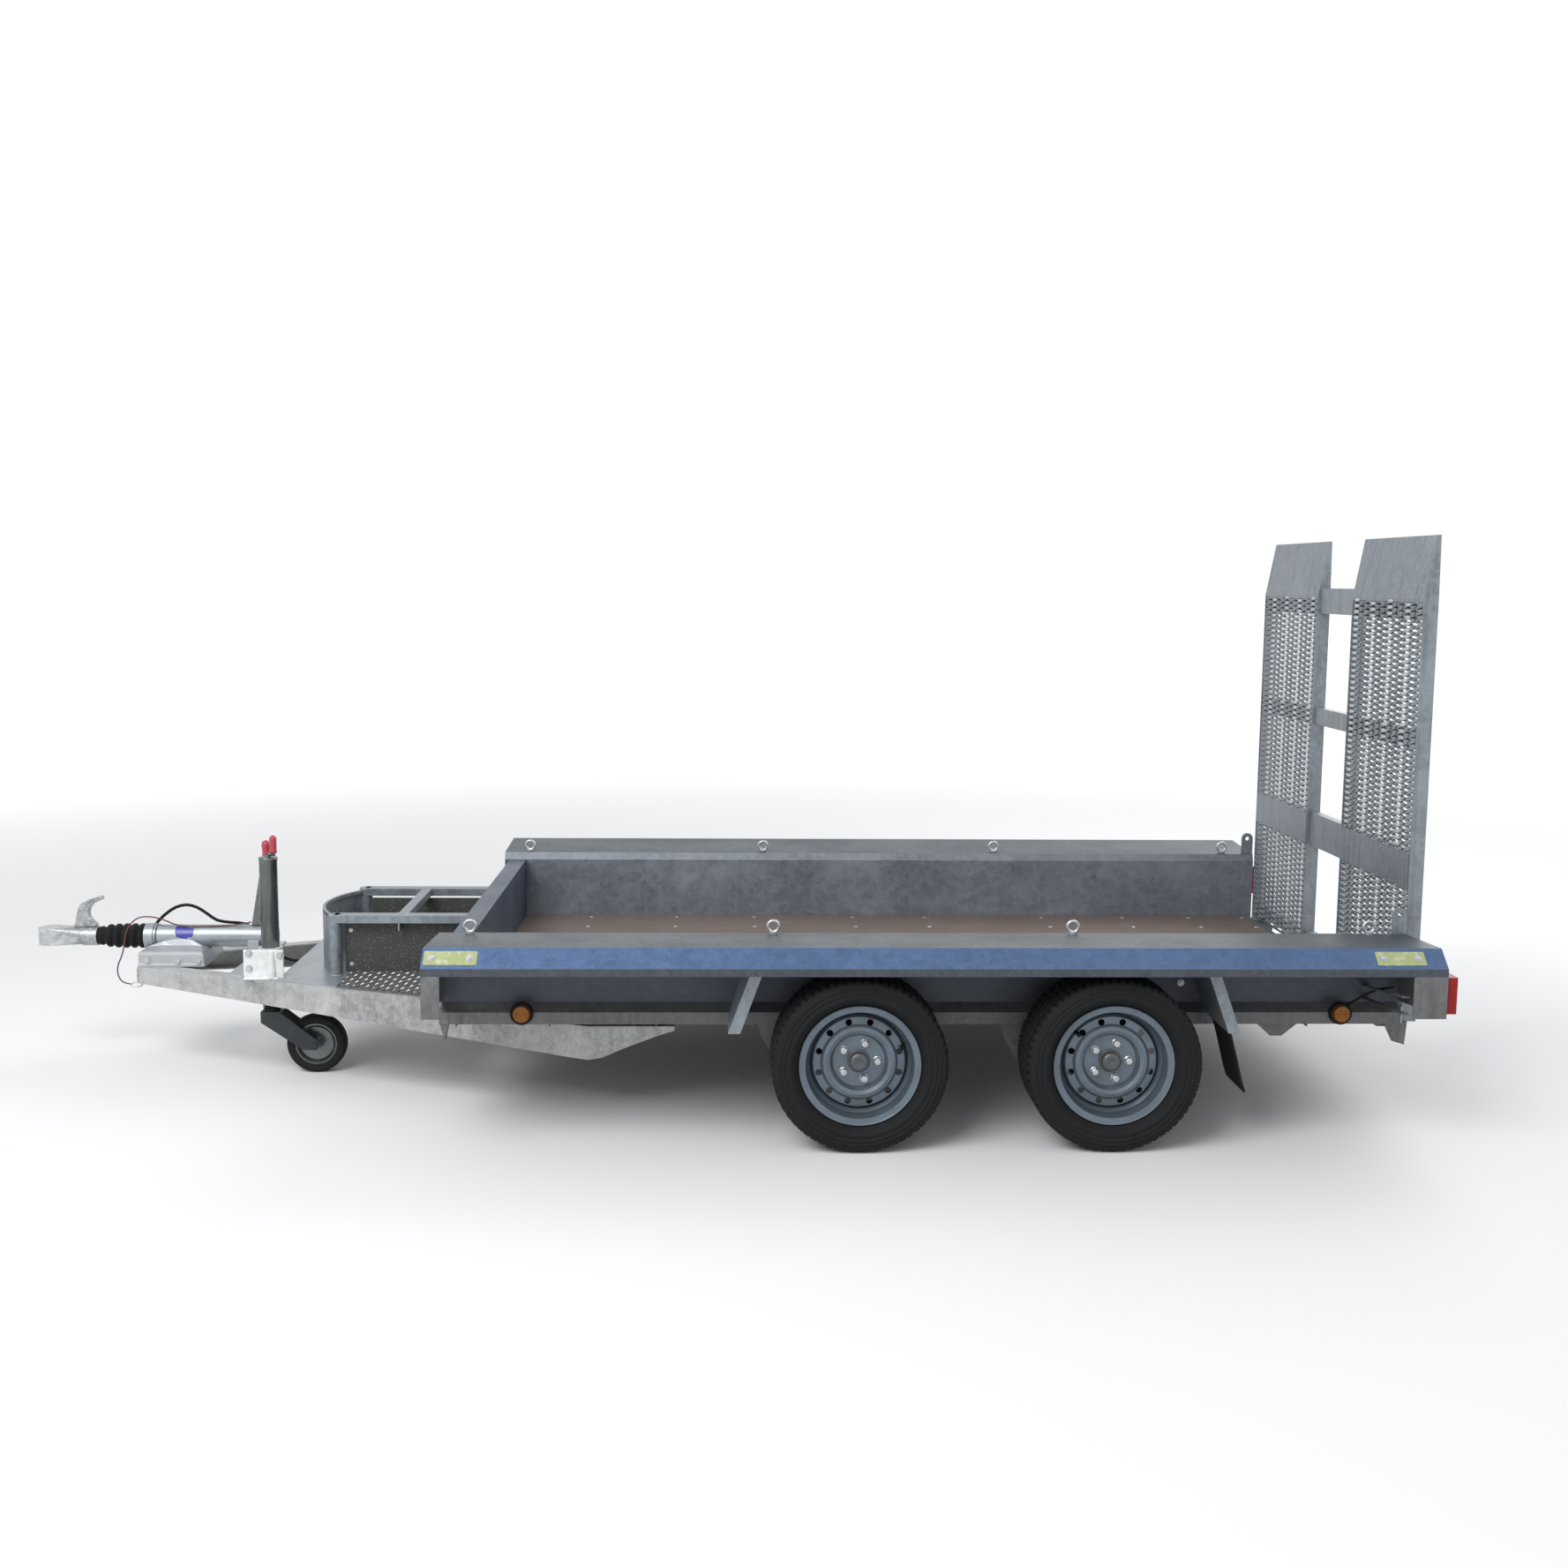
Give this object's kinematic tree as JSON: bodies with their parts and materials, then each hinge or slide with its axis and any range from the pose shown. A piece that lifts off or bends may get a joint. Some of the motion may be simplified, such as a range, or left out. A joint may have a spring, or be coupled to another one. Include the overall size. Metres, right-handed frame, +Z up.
{
  "type": "tandem-axle plant trailer with a loading ramp",
  "caption": "Low galvanised flatbed plant trailer with ledges over its wheels, a braked drawbar, a bucket rest, a jockey wheel and an upright loading ramp.",
  "frame": {"origin": "on the ground, midway along, across and under the whole trailer as it stands with its ramp up", "axes": "+X towards the ramp at the rear, so the coupling points to -X; +Y towards the trailer's right-hand side; +Z up"},
  "size_m": [4.57, 2.18, 1.837],
  "materials": {
    "galvanised_light": "hot-dip galvanised, light and spangled",
    "galvanised_blue": "hot-dip galvanised sheet, blue-grey sheen",
    "galvanised_dark": "hot-dip galvanised, dull and weathered",
    "bright_zinc": "bright zinc plate",
    "black_rubber": "matt black rubber",
    "tyre": "matt tread, satin sidewall",
    "silver_wheel": "satin silver-grey wheel paint",
    "grey_hub": "dull grey cast hub and zinc bolts",
    "phenolic_ply": "dark brown film-faced plywood",
    "speckled_board": "dark speckled board",
    "amber_plastic": "amber lens",
    "lamp_plastic": "red lamp lens",
    "red_plastic": "red moulded grip"
  },
  "bodies": {
    "trailer": {"drawbar_beams": "galvanised_light", "drawbar_head": "bright_zinc", "overrun_housing": "bright_zinc", "gaiter": "black_rubber", "coupling_head": "bright_zinc", "coupling_handle": "bright_zinc", "handbrake_lever": "galvanised_dark", "red_grips": "red_plastic", "jockey_bracket": "bright_zinc", "jockey_tube": "bright_zinc", "tongue_deck": "galvanised_light", "bucket_rest": "galvanised_light", "rest_lining": "speckled_board", "side_left": "galvanised_blue", "side_right": "galvanised_blue", "front_wall": "galvanised_blue", "deck": "phenolic_ply", "chassis_frame": "galvanised_dark", "end_plates": "galvanised_dark", "arch_braces": "galvanised_dark", "mudflaps": "black_rubber", "side_markers": "amber_plastic", "tail_lamps": "lamp_plastic", "front_axle": "galvanised_dark", "rear_axle": "galvanised_dark", "lashing_rings": "bright_zinc", "ramp_locks": "galvanised_light"},
    "ramp": {"ramp_frame": "galvanised_light", "ramp_treads": "galvanised_light"},
    "front_left_wheel": {"tyre_fl": "tyre", "wheel_fl": "silver_wheel", "drum_fl": "grey_hub"},
    "front_right_wheel": {"tyre_fr": "tyre", "wheel_fr": "silver_wheel", "drum_fr": "grey_hub"},
    "rear_left_wheel": {"tyre_rl": "tyre", "wheel_rl": "silver_wheel", "drum_rl": "grey_hub"},
    "rear_right_wheel": {"tyre_rr": "tyre", "wheel_rr": "silver_wheel", "drum_rr": "grey_hub"},
    "jockey_caster": {"jockey_fork": "bright_zinc"},
    "jockey_wheel": {"jockey_rim": "bright_zinc", "jockey_tyre": "black_rubber"}
  },
  "joints": [
    {"name": "ramp_hinge", "type": "hinge", "parent": "trailer", "child": "ramp", "pos_m": [2.269, 0, 0.326], "axis": [0, 1, 0], "range_deg": [0, 101]},
    {"name": "front_left_wheel_spin", "type": "hinge", "parent": "trailer", "child": "front_left_wheel", "pos_m": [0.512, -0.9625, 0.2625], "axis": [0, 1, 0], "continuous": true},
    {"name": "front_right_wheel_spin", "type": "hinge", "parent": "trailer", "child": "front_right_wheel", "pos_m": [0.512, 0.9625, 0.2625], "axis": [0, 1, 0], "continuous": true},
    {"name": "rear_left_wheel_spin", "type": "hinge", "parent": "trailer", "child": "rear_left_wheel", "pos_m": [1.267, -0.9625, 0.2625], "axis": [0, 1, 0], "continuous": true},
    {"name": "rear_right_wheel_spin", "type": "hinge", "parent": "trailer", "child": "rear_right_wheel", "pos_m": [1.267, 0.9625, 0.2625], "axis": [0, 1, 0], "continuous": true},
    {"name": "jockey_swivel", "type": "hinge", "parent": "trailer", "child": "jockey_caster", "pos_m": [-1.431, -0.2, 0.208], "axis": [0, 0, 1], "continuous": true},
    {"name": "jockey_spin", "type": "hinge", "parent": "jockey_caster", "child": "jockey_wheel", "pos_m": [-1.281, -0.2, 0.1], "axis": [0, 1, 0], "continuous": true}
  ]
}
